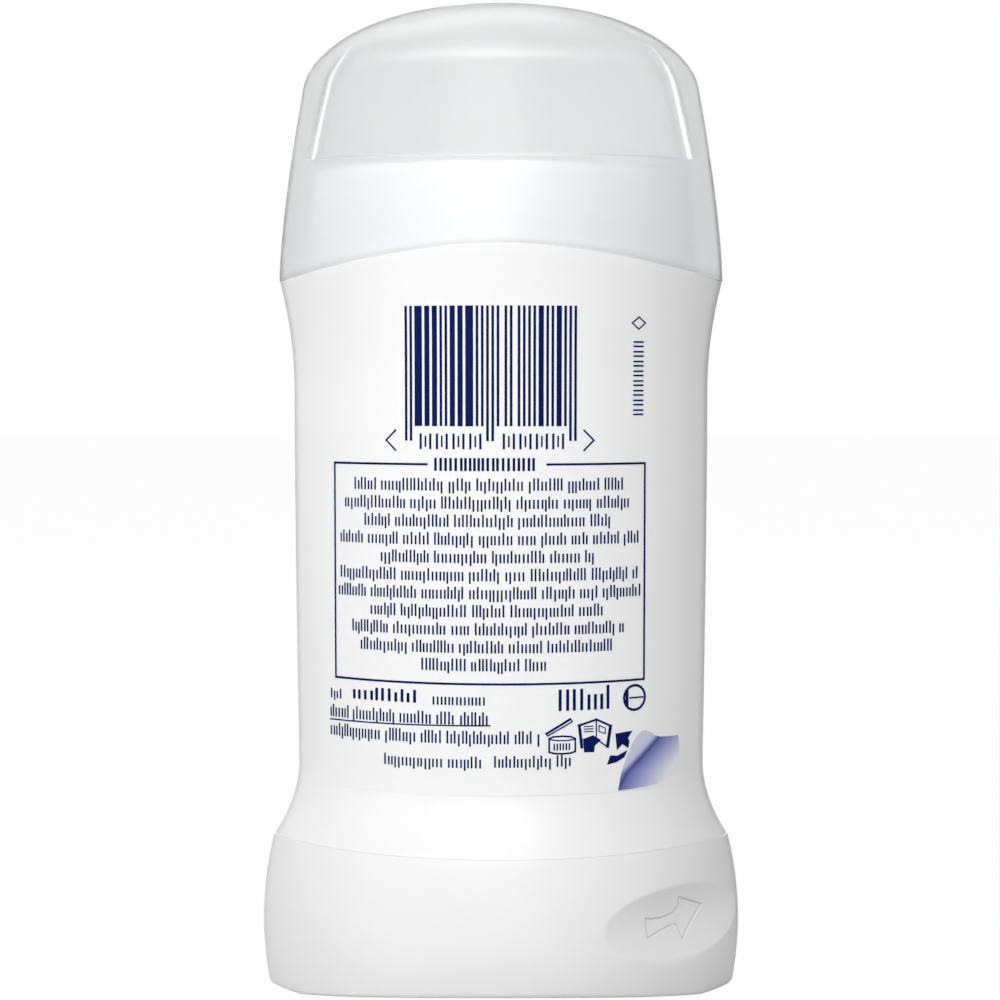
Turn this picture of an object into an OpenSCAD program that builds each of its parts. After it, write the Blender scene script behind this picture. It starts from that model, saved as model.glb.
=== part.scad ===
/* [Overall] */
// Share of an oval's half depth that its rounded ends take as their radius
end_share = 0.26; // [0.22:0.02:0.4]

/* [Twist base] */
// Width of the base at its top edge
base_w = 55.2; // [54.6:0.2:56]
// Depth of the base at its top edge
base_d = 33; // [32:0.2:34]
// Height of the base's top edge above the surface it stands on
base_h = 18; // [17:0.2:19.6]
// How far the base's bottom edge stands out past its top edge
base_spread = 0.55; // [0.2:0.05:0.8]
// How far the base's sides swell between those edges, at mid height
base_bulge = 1; // [0.6:0.05:1.5]
// Wall of the base
base_wall = 1.8; // [1.6:0.1:2]
// Rounding of the base's bottom and top edges
base_edge = 0.5; // [0.2:0.1:0.6]
// Rise of the arched underside between the two feet
foot_arch = 2.4; // [1.5:0.1:3.2]
// Length of the flat foot at each end of the underside
foot_len = 3.6; // [3:0.1:5]
// Radius of the hub that takes the spindle
hub_r = 6; // [5:0.25:7]
// Thickness of the ribs between the hub and the wall
rib_t = 1.2; // [0.8:0.1:1.8]
// Distance from the base's top edge down to the top of the ribs
rib_drop = 4.5; // [3:0.5:8]

/* [Thumb recess] */
// Length of the recess, measured along the wall
dish_len = 22; // [18:0.5:23]
// Height of the recess
dish_h = 8.8; // [6:0.2:9.4]
// Depth of the recess
dish_depth = 1.3; // [0.6:0.1:1.5]
// Distance along the wall from the base's tip back to the middle of the recess
dish_back = 13; // [12.6:0.1:15]
// Height of the middle of the recess
dish_z = 9.6; // [9:0.2:11]
// Depth of the arrow in the floor of the recess
arrow_depth = 0.25; // [0.15:0.05:0.35]
// Length of the arrow
arrow_len = 9.4; // [7:0.2:10]

/* [Barrel] */
// Gap between the base and the barrel
seam_gap = 0.3; // [0.2:0.05:0.5]
// How far the barrel's bottom edge stands in from the base's top edge
seam_step = 0.2; // [0:0.05:0.5]
// Length of the barrel from its bottom edge to the ends of its shoulder
barrel_l = 66.6; // [60:0.2:74]
// How far the ends of the waist stand in from the cap's rim
waist_step_w = 2.1; // [1.9:0.05:2.4]
// How far the faces of the waist stand in from the cap's rim
waist_step_d = 1.9; // [1.4:0.05:2]
// Height of the waist above the barrel's bottom edge
waist_up = 10.4; // [10:0.2:14]
// Height of the flare below the waist
foot_flare_h = 8.6; // [7:0.2:10]
// How far the ends stand in from the cap's rim where the flare to the shoulder begins
body_step_w = 1.75; // [1.2:0.05:1.9]
// How far the faces stand in from the cap's rim where the flare to the shoulder begins
body_step_d = 1.7; // [1.2:0.05:1.8]
// How far the shoulder stands in from the cap's rim
shoulder_step = 0.1; // [0:0.05:0.3]
// Height of the flare below the shoulder
top_flare_h = 12.4; // [10:0.2:16]
// Rise of the shoulder from its ends to the middle of each face
shoulder_arch = 4.1; // [2:0.1:5]
// Height of the neck above the ends of the shoulder
neck_h = 13.6; // [11:0.2:14]
// Gap between the foot of the neck and the cap's wall at the ends
neck_gap_w = 2.3; // [1.5:0.1:2.8]
// Gap between the foot of the neck and the cap's wall at the faces
neck_gap_d = 0.7; // [0.6:0.05:0.9]
// Draft of the neck, from its foot to its top, on each side
neck_draft = 0.8; // [0.6:0.1:1]
// Wall of the barrel's skin
skin_wall = 1.25; // [1:0.05:1.3]
// Wall of the chamber that holds the stick
chamber_wall = 1.2; // [1:0.1:1.3]
// Height of the barrel's floor above its bottom edge
floor_up = 7.8; // [7:0.1:9]
// Thickness of the barrel's floor
floor_t = 1.4; // [1:0.1:2]

/* [Screw] */
// Radius of the spindle's crest
spindle_r = 2.5; // [2:0.1:3]
// Radius of the spindle's journal in the barrel's floor
journal_r = 3.6; // [3.2:0.1:4]
// Radius of the flange that stops the spindle above the floor
flange_r = 6.4; // [5.5:0.1:7.5]
// Thickness of that flange
flange_t = 1.4; // [1:0.1:2]
// Distance from the neck's top edge down to the spindle's top
spindle_drop = 5; // [4:0.5:8]
// Depth of the spindle's spigot in the hub
spigot_h = 15; // [10:0.5:17]
// Radial clearance of the spindle in the floor and in the nut
run_fit = 0.06; // [0.03:0.01:0.1]

/* [Carrier and stick] */
// Gap between the carrier or the stick and the chamber's wall
slide_gap = 0.25; // [0.15:0.05:0.4]
// Gap between the spindle's flange and the carrier at its lowest
carrier_gap = 0.3; // [0.2:0.1:0.6]
// Thickness of the carrier's plate
carrier_t = 1.4; // [1:0.1:2]
// Height of the carrier's rim, ribs and nut above its plate
rim_h = 5; // [3:0.5:8]
// Thickness of the carrier's rim and of its ribs
rim_t = 0.9; // [0.7:0.1:1.2]
// Wall of the carrier's nut
nut_wall = 2; // [1.5:0.1:2.5]
// Distance from the neck's top edge down to the top of the stick's dome
stick_drop = 0.4; // [0.2:0.1:1]
// Rise of the stick's dome
stick_dome = 6.5; // [4:0.5:8]
// Gap between the stick and the spindle
bore_gap = 0.4; // [0.3:0.05:0.8]

/* [Cap] */
// Gap between the cap and the shoulder
cap_gap = 0.2; // [0.15:0.05:0.4]
// Height of the cap from the ends of its rim to its top
cap_h = 32.9; // [31:0.1:36]
// Wall of the cap
cap_wall = 1.1; // [0.9:0.05:1.15]
// Width of the cap at its rim
cap_w = 53.2; // [52.4:0.1:53.8]
// Depth of the cap at its rim
cap_d = 29.6; // [29.4:0.1:30.4]
// Draft of each end of the cap, from its rim up to its top
cap_draft_w = 5; // [3:0.1:5.4]
// Draft of each face of the cap, from its rim up to its top
cap_draft_d = 3.8; // [2.4:0.1:4]
// Height of the cap's dome at its ends
dome_end_h = 10; // [7:0.5:12]
// Height of the cap's dome at its faces
dome_face_h = 11.5; // [9:0.5:13]
// Gap between the neck's top edge and the ledge under the cap's grip panels
ledge_gap = 0.7; // [0.6:0.1:1]
// Fall of that ledge from its ends to the middle of each face
ledge_fall = 0.4; // [0:0.1:0.5]
// Distance from the cap's top down to the top of the grip panels
panel_drop = 5.4; // [4.5:0.1:7]
// Depth of the grip panels at their ledge
panel_depth = 1.3; // [0.8:0.1:1.4]

/* [Label] */
// Height of the label's lower edge above the barrel's bottom edge
label_up = 6.8; // [5:0.2:10]
// Height of the label
label_h = 55.6; // [46:0.2:56]
// Thickness of the label's film
label_t = 0.1; // [0.06:0.02:0.16]

/* [Hidden] */
$fn = 48;
// Clearance under the label
film_gap = 0.05;
// Overlap of a cutting shape past the face that it cuts
cut = 1;
// How hard the flares curl: 2 would be a parabola
curl = 1.9;
// How sharply the arches of the foot and of the shoulder peak
foot_power = 2;
shoulder_power = 1.66;
// How square the cap's dome is at its ends and at its faces: 2 is an ellipse
end_dome_power = 2.8;
face_dome_power = 2;
// How the cap's draft gathers towards its top: 1 would be a straight wall
draft_power = 1.45;
seam_w = base_w - 2 * seam_step;
seam_d = base_d - 2 * seam_step;
waist_w = cap_w - 2 * waist_step_w;
waist_d = cap_d - 2 * waist_step_d;
body_w = cap_w - 2 * body_step_w;
body_d = cap_d - 2 * body_step_d;
shoulder_w = cap_w - 2 * shoulder_step;
shoulder_d = cap_d - 2 * shoulder_step;
neck_w = cap_w - 2 * (cap_wall + neck_gap_w);
neck_d = cap_d - 2 * (cap_wall + neck_gap_d);
barrel_z = base_h + seam_gap;
floor_z = barrel_z + floor_up;
deck_z = floor_z + floor_t;
waist_z = barrel_z + waist_up;
shoulder_z = barrel_z + barrel_l;
top_flare_z = shoulder_z - top_flare_h;
neck_z = shoulder_z + neck_h;
rim_z = shoulder_z + cap_gap;
total_h = rim_z + cap_h;
panel_z = neck_z + ledge_gap;
panel_top = total_h - panel_drop;
flange_z = deck_z + run_fit;
spigot_z = floor_z - seam_gap - spigot_h;
spindle_top = neck_z - spindle_drop;
carrier_z = flange_z + flange_t + carrier_gap;
stick_top = neck_z - stick_drop;
chamber_a = neck_w / 2 - neck_draft - chamber_wall;
chamber_b = neck_d / 2 - neck_draft - chamber_wall;
stick_a = chamber_a - slide_gap;
stick_b = chamber_b - slide_gap;
nut_r = spindle_r + run_fit + nut_wall;
foot_x = base_w / 2 - foot_len;
// The heights of the barrel's levels: the lower flare, the body, the upper flare
BODY_STEPS = [0, 0.2, 0.5, 1];
SKIN_Z = concat([for (t = [0.04, 0.1, 0.2, 0.34, 0.5, 0.7, 0.9]) barrel_z + t * foot_flare_h],
                [for (t = BODY_STEPS) waist_z + t * (top_flare_z - waist_z)],
                [for (t = [0.2, 0.45, 0.65, 0.82, 1]) top_flare_z + t * top_flare_h]);
// Where the columns of an oval's flatter face lie, as shares of its half width.
// The two near the end are the outer and inner edges of the cap's grip panels.
panel_edge_share = 0.955;
panel_share = 0.925;
HALF_COLUMNS = [1, panel_edge_share, panel_share, 0.84, 0.73, 0.61, 0.47, 0.32, 0.16];
COLUMNS = concat(HALF_COLUMNS, [0], [for (i = [len(HALF_COLUMNS) - 1 : -1 : 0]) -HALF_COLUMNS[i]]);
END_STEPS = 4;

// An oval of four arcs: a and b are its half width and half depth
function end_r(b) = end_share * b;
function end_c(a, b) = a - end_r(b);
function face_r(a, b) =
    (pow(end_c(a, b), 2) + b * b - pow(end_r(b), 2)) / (2 * (b - end_r(b)));
function face_c(a, b) = face_r(a, b) - b;
// The angle of the face's arc, from its middle to where the end's arc begins
function face_angle(a, b) = atan2(end_c(a, b), face_c(a, b));
function face_x(a, b) = face_r(a, b) * sin(face_angle(a, b));
function face_y(a, b, x) = sqrt(pow(face_r(a, b), 2) - x * x) - face_c(a, b);
// The way round the oval from the middle of a face to where the end's arc begins
function face_len(a, b) = face_r(a, b) * face_angle(a, b) * PI / 180;
// The way round from the middle of a face to the tip
function quarter_len(a, b) = face_len(a, b) + end_r(b) * (90 - face_angle(a, b)) * PI / 180;

// The half of an oval with y above 0, from its +X tip to its -X tip, as [x, y, share]
function half_oval(a, b) =
    let (r = end_r(b), c = end_c(a, b), q = 90 - face_angle(a, b), fx = face_x(a, b))
    concat(
        [for (i = [0 : END_STEPS - 1])
            let (t = q * i / END_STEPS) [c + r * cos(t), r * sin(t), 2]],
        [for (s = COLUMNS) [s * fx, face_y(a, b, s * fx), abs(s)]],
        [for (i = [END_STEPS - 1 : -1 : 0])
            let (t = q * i / END_STEPS) [-c - r * cos(t), r * sin(t), 2]]);

function both_halves(h) =
    concat(h, [for (i = [len(h) - 2 : -1 : 1]) [h[i].x, -h[i].y, h[i][2]]]);

function oval(a, b) = [for (p = both_halves(half_oval(a, b))) [p.x, p.y]];

// A line round the object: half width, half depth, height, the rise of its middle,
// the half width and the power of that rise, and the depth of the grip panels in it
function level(a, b, z, rise = 0, span = 1, power = shoulder_power, dent = 0) =
    [for (p = both_halves(half_oval(a, b)))
        [p.x,
         p.y - (p[2] <= panel_share ? sign(p.y) * dent : 0),
         z + rise * (1 - pow(min(1, abs(p.x) / span), power))]];

// A closed skin through levels of equal count, from the first, which faces down,
// to the last, which faces up
module skin(levels) {
    n = len(levels[0]);
    m = len(levels);
    points = [for (l = levels) each l];
    sides = [for (i = [0 : m - 2], k = [0 : n - 1])
        let (j = (k + 1) % n, p = i * n, q = p + n)
        each [[p + k, q + k, q + j], [p + k, q + j, p + j]]];
    strip = [for (k = [0 : n / 2 - 1])
        let (j = k + 1, back = (n - k) % n)
        each concat(k > 0 ? [[k, j, back]] : [],
                    j < n / 2 ? [[j, n - j, back]] : [])];
    lid = [for (f = strip) [for (v = [2, 1, 0]) f[v] + (m - 1) * n]];
    polyhedron(points, concat(sides, strip, lid), convexity = 8);
}

function ramp(t) = pow(min(1, max(0, t)), curl);

// The barrel's half size at height z, from its sizes at the waist, the body, the
// bottom edge and the shoulder
function barrel_half(z, waist, body, foot, shoulder) =
    waist / 2
    + (body - waist) / 2 * (1 - pow(min(1, max(0, (top_flare_z - z) / (top_flare_z - waist_z))), 2))
    + (foot - waist) / 2 * ramp(1 - (z - barrel_z) / foot_flare_h)
    + (shoulder - body) / 2 * ramp((z - top_flare_z) / top_flare_h);
function barrel_a(z) = barrel_half(z, waist_w, body_w, seam_w, shoulder_w);
function barrel_b(z) = barrel_half(z, waist_d, body_d, seam_d, shoulder_d);
function barrel_rise(z) = shoulder_arch * ramp((z - top_flare_z) / top_flare_h);
function barrel_level(z, grow = 0) =
    let (a = barrel_a(z))
    level(a + grow, barrel_b(z) + grow, z, barrel_rise(z), a);

// The base's half size at height z, from its size at its top edge
function base_half(z, size) =
    size / 2 + base_spread * (1 - z / base_h)
    + base_bulge * (1 - pow((2 * z - base_h) / base_h, 2));
function base_a(z) = base_half(z, base_w);
function base_b(z) = base_half(z, base_d);

// The cap's half size at height z: a leaning wall, then a dome that closes at the top
function cap_half(z, size, draft, dome_h, power, wall) =
    let (top = total_h - wall, z0 = total_h - dome_h)
    (size / 2 - wall - draft * pow((z - shoulder_z) / (total_h - shoulder_z), draft_power))
    * (z <= z0 ? 1 : pow(1 - pow(min(1, (z - z0) / (top - z0)), 2), 1 / power));
function cap_a(z, wall) = cap_half(z, cap_w, cap_draft_w, dome_end_h, end_dome_power, wall);
function cap_b(z, wall) = cap_half(z, cap_d, cap_draft_d, dome_face_h, face_dome_power, wall);
function panel_dent(z) =
    z <= panel_z ? 0 : panel_depth * (1 - ramp((z - panel_z) / (panel_top - panel_z)));
function cap_level(z, wall, dent, rise = 0) =
    level(cap_a(z, wall), cap_b(z, wall), z, rise, cap_w / 2, shoulder_power, dent);

module twist_base() {
    color("white") difference() {
        union() {
            skin(base_levels());
            base_hub();
        }
        translate([0, 0, spigot_z]) cylinder(r = journal_r, h = spigot_h + cut);
        for (turn = [0, 180]) rotate(turn) thumb_cut();
    }
}

// Its bottom levels are arched, and the arch fades out by mid height
function base_levels() =
    let (round = [for (t = [0, 45, 90]) [base_edge * (1 - sin(t)), base_edge * (1 - cos(t))]],
         mid = base_h / 2, inner = base_wall + base_edge)
    concat(
        [for (r = round)
            base_level(r[1], -r[0], foot_arch)],
        [for (t = [0.35, 0.7]) base_level(t * mid, 0, foot_arch * (1 - t))],
        [for (t = [1.1, 1.5, 1.8]) base_level(t * mid, 0, 0)],
        [for (r = [round[2], round[1], round[0]]) base_level(base_h - r[1], -r[0], 0)],
        [for (z = [base_h, mid]) base_level(z, -inner, 0)],
        [base_level(base_wall, -inner, foot_arch)]);

function base_level(z, grow, rise) =
    level(base_a(z) + grow, base_b(z) + grow, z, rise, foot_x, foot_power);

// The hub and the four ribs that carry it
module base_hub() {
    low = base_wall + foot_arch / 2;
    translate([0, 0, low]) {
        cylinder(r = hub_r, h = floor_z - seam_gap - low);
        for (size = [[base_w - 2 * base_wall, rib_t], [rib_t, base_d - 2 * base_wall]])
            translate([-size.x / 2, -size.y / 2, 0])
                cube([size.x, size.y, base_h - rib_drop - low]);
    }
}

// A point on the base's wall: s is the way round from the middle of the face,
// out is how far it stands proud of the wall
function on_base(s, z, out) =
    let (a = base_a(z), b = base_b(z), r = end_r(b), f = face_r(a, b), q = face_angle(a, b),
         s0 = face_len(a, b),
         t = s <= s0 ? s / f * 180 / PI : q + (s - s0) / r * 180 / PI)
    s <= s0
    ? [(f + out) * sin(t), face_c(a, b) - (f + out) * cos(t), z]
    : [end_c(a, b) + (r + out) * sin(t), -(r + out) * cos(t), z];

// How far round the wall the middle of the recess is, from the middle of the face
function dish_along() = quarter_len(base_a(dish_z), base_b(dish_z)) - dish_back;

// A point of the recess in its own polar measure, 1 at its rim
function dish_point(share, angle, out) =
    let (u = share * dish_len / 2 * cos(angle), v = share * dish_h / 2 * sin(angle))
    on_base(dish_along() + u, dish_z + v, out);

module thumb_cut() {
    steps = 28;
    shares = [1.04, 0.92, 0.76, 0.56, 0.3];
    turns = [for (i = [0 : steps - 1]) i * 360 / steps];
    rings = concat(
        [for (s = shares) [for (t = turns) dish_point(s, t, -dish_depth * (1 - s * s))]],
        [[for (t = turns) dish_point(shares[0], t, cut)]]);
    n = steps;
    m = len(rings);
    last = m * n;
    points = concat([for (r = rings) each r],
                    [dish_point(0, 0, -dish_depth), dish_point(0, 0, cut)]);
    // Rings run from the rim to the middle, and the last one is the outer rim
    floor_faces = [for (i = [0 : m - 3], k = [0 : n - 1])
        let (j = (k + 1) % n, p = i * n, q = p + n)
        each [[p + k, p + j, q + j], [p + k, q + j, q + k]]];
    middle = [for (k = [0 : n - 1]) [(m - 2) * n + k, (m - 2) * n + (k + 1) % n, last]];
    wall = [for (k = [0 : n - 1])
        let (j = (k + 1) % n, q = (m - 1) * n)
        each [[k, q + k, q + j], [k, q + j, j]]];
    front = [for (k = [0 : n - 1]) [(m - 1) * n + (k + 1) % n, (m - 1) * n + k, last + 1]];
    polyhedron(points, concat(floor_faces, middle, wall, front), convexity = 4);
    arrow_cut();
}

// The arrow, in shares of its length: a curved tail, then the head
ARROW = [[0, 0.093], [0.12, 0.072], [0.25, 0.066], [0.37, 0.08], [0.47, 0.105], [0.53, 0.15],
         [0.555, 0.2], [0.53, 0.294], [1, 0.133], [0.617, -0.239], [0.58, -0.13], [0.555, -0.066],
         [0.5, -0.04], [0.25, -0.09], [0.03, -0.153]];

module arrow_cut() {
    at = on_base(dish_along(), dish_z, 0);
    heading = atan2(at.x, face_c(base_a(dish_z), base_b(dish_z)) - at.y);
    translate(at) rotate([90, 0, heading])
        translate([-arrow_len / 2, 0, -dish_depth - arrow_depth])
            linear_extrude(dish_depth) scale(arrow_len) polygon(ARROW);
}

module barrel() {
    color("white") difference() {
        skin(barrel_levels());
        translate([0, 0, floor_z - cut])
            cylinder(r = journal_r + run_fit, h = floor_t + 2 * cut);
        for (turn = [0, 180]) rotate(turn) end_pocket();
    }
}

function barrel_levels() =
    let (skirt = [for (t = [1, 0.7, 0.3, 0]) barrel_z + t * floor_up],
         edge = base_edge / 2)
    concat(
        [for (z = skirt) level(barrel_a(z) - skin_wall, barrel_b(z) - skin_wall, z)],
        [level(barrel_a(barrel_z) - edge, barrel_b(barrel_z) - edge, barrel_z)],
        [for (z = SKIN_Z) barrel_level(z)],
        [level(neck_w / 2, neck_d / 2, shoulder_z, shoulder_arch, shoulder_w / 2)],
        [for (r = [[0, neck_draft / 2], [neck_draft / 2, 0]])
            level(neck_w / 2 - neck_draft - r[0], neck_d / 2 - neck_draft - r[0], neck_z - r[1])],
        [level(chamber_a, chamber_b, neck_z), level(chamber_a, chamber_b, deck_z)]);

// The hollow between the skin and the chamber at each end of the oval
module end_pocket() {
    top = shoulder_z - 2 * skin_wall;
    heights = concat([floor_z - cut], [for (z = SKIN_Z) if (z >= waist_z && z < top) z], [top]);
    steps = [for (i = [-END_STEPS : END_STEPS]) i / END_STEPS];
    inner_a = chamber_a + chamber_wall;
    inner_b = chamber_b + chamber_wall;
    rings = [for (z = heights) concat(
        end_arc(barrel_a(z) - skin_wall, barrel_b(z) - skin_wall, steps, z),
        end_arc(inner_a, inner_b, -steps, z))];
    stack(rings);
}

function end_arc(a, b, steps, z) =
    [for (s = steps) let (t = s * (90 - face_angle(a, b)))
        [end_c(a, b) + end_r(b) * cos(t), end_r(b) * sin(t), z]];

// A closed solid through crescent rings, whose two arcs have equal counts
module stack(rings) {
    n = len(rings[0]);
    m = len(rings);
    sides = [for (i = [0 : m - 2], k = [0 : n - 1])
        let (j = (k + 1) % n, p = i * n, q = p + n)
        each [[p + k, q + k, q + j], [p + k, q + j, p + j]]];
    strip = [for (k = [0 : n / 2 - 2])
        each [[k, k + 1, n - k - 2], [k, n - k - 2, n - k - 1]]];
    lid = [for (f = strip) [for (v = [2, 1, 0]) f[v] + (m - 1) * n]];
    polyhedron([for (r = rings) each r], concat(sides, strip, lid), convexity = 4);
}

module spindle() {
    color("white") {
        translate([0, 0, spigot_z]) cylinder(r = journal_r, h = flange_z - spigot_z);
        translate([0, 0, flange_z]) cylinder(r = flange_r, h = flange_t);
        translate([0, 0, flange_z + flange_t])
            cylinder(r = spindle_r, h = spindle_top - flange_z - flange_t);
    }
}

module carrier() {
    rim_a = stick_a - rim_t;
    rim_b = stick_b - rim_t;
    color("white") translate([0, 0, carrier_z]) difference() {
        union() {
            linear_extrude(carrier_t) polygon(oval(stick_a, stick_b));
            linear_extrude(carrier_t + rim_h) difference() {
                polygon(oval(stick_a, stick_b));
                polygon(oval(rim_a, rim_b));
            }
            cylinder(r = nut_r, h = carrier_t + rim_h);
            carrier_ribs(carrier_t + rim_h);
        }
        translate([0, 0, -cut])
            cylinder(r = spindle_r + run_fit, h = carrier_t + rim_h + 2 * cut);
    }
}

// The four ribs between the carrier's nut and its rim
module carrier_ribs(h) {
    for (size = [[2 * stick_a - rim_t, rim_t], [rim_t, 2 * stick_b - rim_t]])
        translate([-size.x / 2, -size.y / 2, 0]) cube([size.x, size.y, h]);
}

module stick() {
    rim_top = carrier_z + carrier_t + rim_h;
    dome_z = stick_top - stick_dome;
    color("ivory") difference() {
        skin(concat(
            [for (z = [carrier_z + carrier_t, rim_top])
                level(stick_a - rim_t, stick_b - rim_t, z)],
            [for (z = [rim_top, dome_z]) level(stick_a, stick_b, z)],
            [for (t = [20, 38, 54, 68, 80])
                level(stick_a * pow(cos(t), 0.7), stick_b * cos(t), dome_z + stick_dome * sin(t))],
            [level(stick_a / 4, stick_b / 20, stick_top)]));
        translate([0, 0, carrier_z]) {
            cylinder(r = nut_r, h = carrier_t + rim_h);
            carrier_ribs(carrier_t + rim_h);
            cylinder(r = spindle_r + bore_gap, h = spindle_top + bore_gap - carrier_z);
        }
    }
}

module cap() {
    color("gainsboro", 0.6) skin(cap_levels());
}

function cap_levels() =
    let (mid = rim_z + (panel_z - rim_z) / 2,
         panel = [for (t = [0.03, 0.25, 0.5, 0.72, 0.88, 1]) panel_z + t * (panel_top - panel_z)],
         dome = [for (t = [0.35, 0.6, 0.8, 0.92, 0.985]) panel_top + t * (total_h - panel_top)],
         inner_dome = [for (t = [0.97, 0.8, 0.5, 0.2])
             panel_top + t * (total_h - cap_wall - panel_top)])
    concat(
        [for (z = inner_dome) cap_level(z, cap_wall, 0)],
        [for (i = [5 : -1 : 0])
            cap_level(panel[i], cap_wall, panel_dent(panel[i]), i == 0 ? -ledge_fall : 0)],
        [cap_level(panel_z, cap_wall, 0, -ledge_fall)],
        [cap_level(mid, cap_wall, 0, shoulder_arch / 2), cap_level(rim_z, cap_wall, 0, shoulder_arch)],
        [cap_level(rim_z, 0, 0, shoulder_arch), cap_level(mid, 0, 0, shoulder_arch / 2)],
        [cap_level(panel_z, 0, 0, -ledge_fall)],
        [for (i = [0 : 5]) cap_level(panel[i], 0, panel_dent(panel[i]), i == 0 ? -ledge_fall : 0)],
        [for (z = dome) cap_level(z, 0, 0)]);

module back_label() {
    low = barrel_z + label_up;
    heights = concat([low], [for (z = SKIN_Z) if (z > low && z < low + label_h) z], [low + label_h]);
    shares = [for (p = half_oval(waist_w, waist_d)) p[2]];
    inner = [for (k = [0 : len(shares) - 1]) if (shares[k] <= panel_share) k];
    first = inner[0];
    last = inner[len(inner) - 1];
    rings = [for (z = heights)
        let (inside = barrel_level(z, film_gap), outside = barrel_level(z, film_gap + label_t),
             n = len(inside))
        concat([for (k = [last : -1 : first]) outside[n - k]],
               [for (k = [first : last]) inside[n - k]])];
    color("white") stack(rings);
}

twist_base();
barrel();
spindle();
carrier();
stick();
cap();
back_label();
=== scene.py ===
import math
import random

import bpy
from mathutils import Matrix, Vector
from mathutils.geometry import delaunay_2d_cdt


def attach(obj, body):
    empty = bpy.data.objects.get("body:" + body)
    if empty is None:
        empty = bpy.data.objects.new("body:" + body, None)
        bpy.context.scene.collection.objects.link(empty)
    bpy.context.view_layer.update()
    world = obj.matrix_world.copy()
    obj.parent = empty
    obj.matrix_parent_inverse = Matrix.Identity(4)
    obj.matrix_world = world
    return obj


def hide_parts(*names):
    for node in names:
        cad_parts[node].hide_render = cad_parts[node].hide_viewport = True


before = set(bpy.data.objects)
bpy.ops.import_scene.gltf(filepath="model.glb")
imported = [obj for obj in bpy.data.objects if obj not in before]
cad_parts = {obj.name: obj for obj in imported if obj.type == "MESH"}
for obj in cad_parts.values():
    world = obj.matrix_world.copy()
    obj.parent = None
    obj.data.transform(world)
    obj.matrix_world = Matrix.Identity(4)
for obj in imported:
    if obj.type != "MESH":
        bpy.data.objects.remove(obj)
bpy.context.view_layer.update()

# Sizes in millimetres, as the frame's solids have them
MM = 0.001
END_SHARE = 0.26
BASE_W, BASE_D, BASE_H, BASE_BULGE, BASE_SPREAD = 55.2, 33, 18, 1, 0.55
BASE_WALL, BASE_EDGE, FOOT_ARCH, FOOT_LEN = 1.8, 0.5, 2.4, 3.6
HUB_R, RIB_T, RIB_DROP = 6, 1.2, 4.5
DISH_LEN, DISH_H, DISH_DEPTH, DISH_BACK, DISH_Z = 22, 8.8, 1.3, 13, 9.6
ARROW_LEN = 9.4
SEAM_GAP, SEAM_STEP, BARREL_L = 0.3, 0.2, 66.6
WAIST_STEP_W, WAIST_STEP_D, WAIST_UP, FOOT_FLARE_H = 2.1, 1.9, 10.4, 8.6
BODY_STEP_W, BODY_STEP_D, TOP_FLARE_H = 1.75, 1.7, 12.4
SHOULDER_STEP = 0.1
NECK_H, NECK_GAP_W, NECK_GAP_D, NECK_DRAFT = 13.6, 2.3, 0.7, 0.8
SKIN_WALL, CHAMBER_WALL, FLOOR_UP, FLOOR_T = 1.25, 1.2, 7.8, 1.4
SPINDLE_R, JOURNAL_R, FLANGE_R, FLANGE_T = 2.5, 3.6, 6.4, 1.4
SPINDLE_DROP, SPIGOT_H, RUN_FIT, SCREW_LEAD = 5, 15, 0.06, 5
SLIDE_GAP, CARRIER_GAP, CARRIER_T, RIM_H = 0.25, 0.3, 1.4, 5
STICK_DROP, STICK_DOME, BORE_GAP = 0.4, 6.5, 0.4
CAP_GAP, CAP_H, CAP_WALL, CAP_W, CAP_D = 0.2, 32.9, 1.1, 53.2, 29.6
CAP_DRAFT_W, CAP_DRAFT_D, DOME_END_H, DOME_FACE_H = 5, 3.8, 10, 11.5
FACE_DOME_POWER, DRAFT_POWER = 2, 1.45
LEDGE_GAP, LEDGE_FALL, PANEL_DROP, PANEL_DEPTH = 0.7, 0.4, 5.4, 1.3
LABEL_UP, LABEL_H, PANEL_SHARE = 6.8, 55.6, 0.925
CURL, FOOT_POWER, SHOULDER_POWER = 1.9, 2, 1.66

# Fine sizes that are drawn rounder, thinner or closer to the photograph than in the solids
SHOULDER_ARCH, SHOULDER_EDGE, END_DOME_POWER = 3.9, 0.1, 2.32
NECK_FILLET, NECK_LIP = 0.5, 0.4
LABEL_T, FILM_GAP = 0.05, 0.02

# Sizes and heights that follow from these
FOOT_X = BASE_W / 2 - FOOT_LEN
SEAM_W, SEAM_D = BASE_W - 2 * SEAM_STEP, BASE_D - 2 * SEAM_STEP
WAIST_W, WAIST_D = CAP_W - 2 * WAIST_STEP_W, CAP_D - 2 * WAIST_STEP_D
BODY_W, BODY_D = CAP_W - 2 * BODY_STEP_W, CAP_D - 2 * BODY_STEP_D
SHOULDER_W, SHOULDER_D = CAP_W - 2 * SHOULDER_STEP, CAP_D - 2 * SHOULDER_STEP
NECK_W = CAP_W - 2 * (CAP_WALL + NECK_GAP_W)
NECK_D = CAP_D - 2 * (CAP_WALL + NECK_GAP_D)
BARREL_Z = BASE_H + SEAM_GAP
FLOOR_Z = BARREL_Z + FLOOR_UP
DECK_Z = FLOOR_Z + FLOOR_T
WAIST_Z = BARREL_Z + WAIST_UP
SHOULDER_Z = BARREL_Z + BARREL_L
TOP_FLARE_Z = SHOULDER_Z - TOP_FLARE_H
NECK_Z = SHOULDER_Z + NECK_H
RIM_Z = SHOULDER_Z + CAP_GAP
TOTAL_H = RIM_Z + CAP_H
PANEL_Z = NECK_Z + LEDGE_GAP
PANEL_TOP = TOTAL_H - PANEL_DROP
SPIGOT_Z = FLOOR_Z - SEAM_GAP - SPIGOT_H
FLANGE_Z = DECK_Z + RUN_FIT
CARRIER_Z = FLANGE_Z + FLANGE_T + CARRIER_GAP
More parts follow.
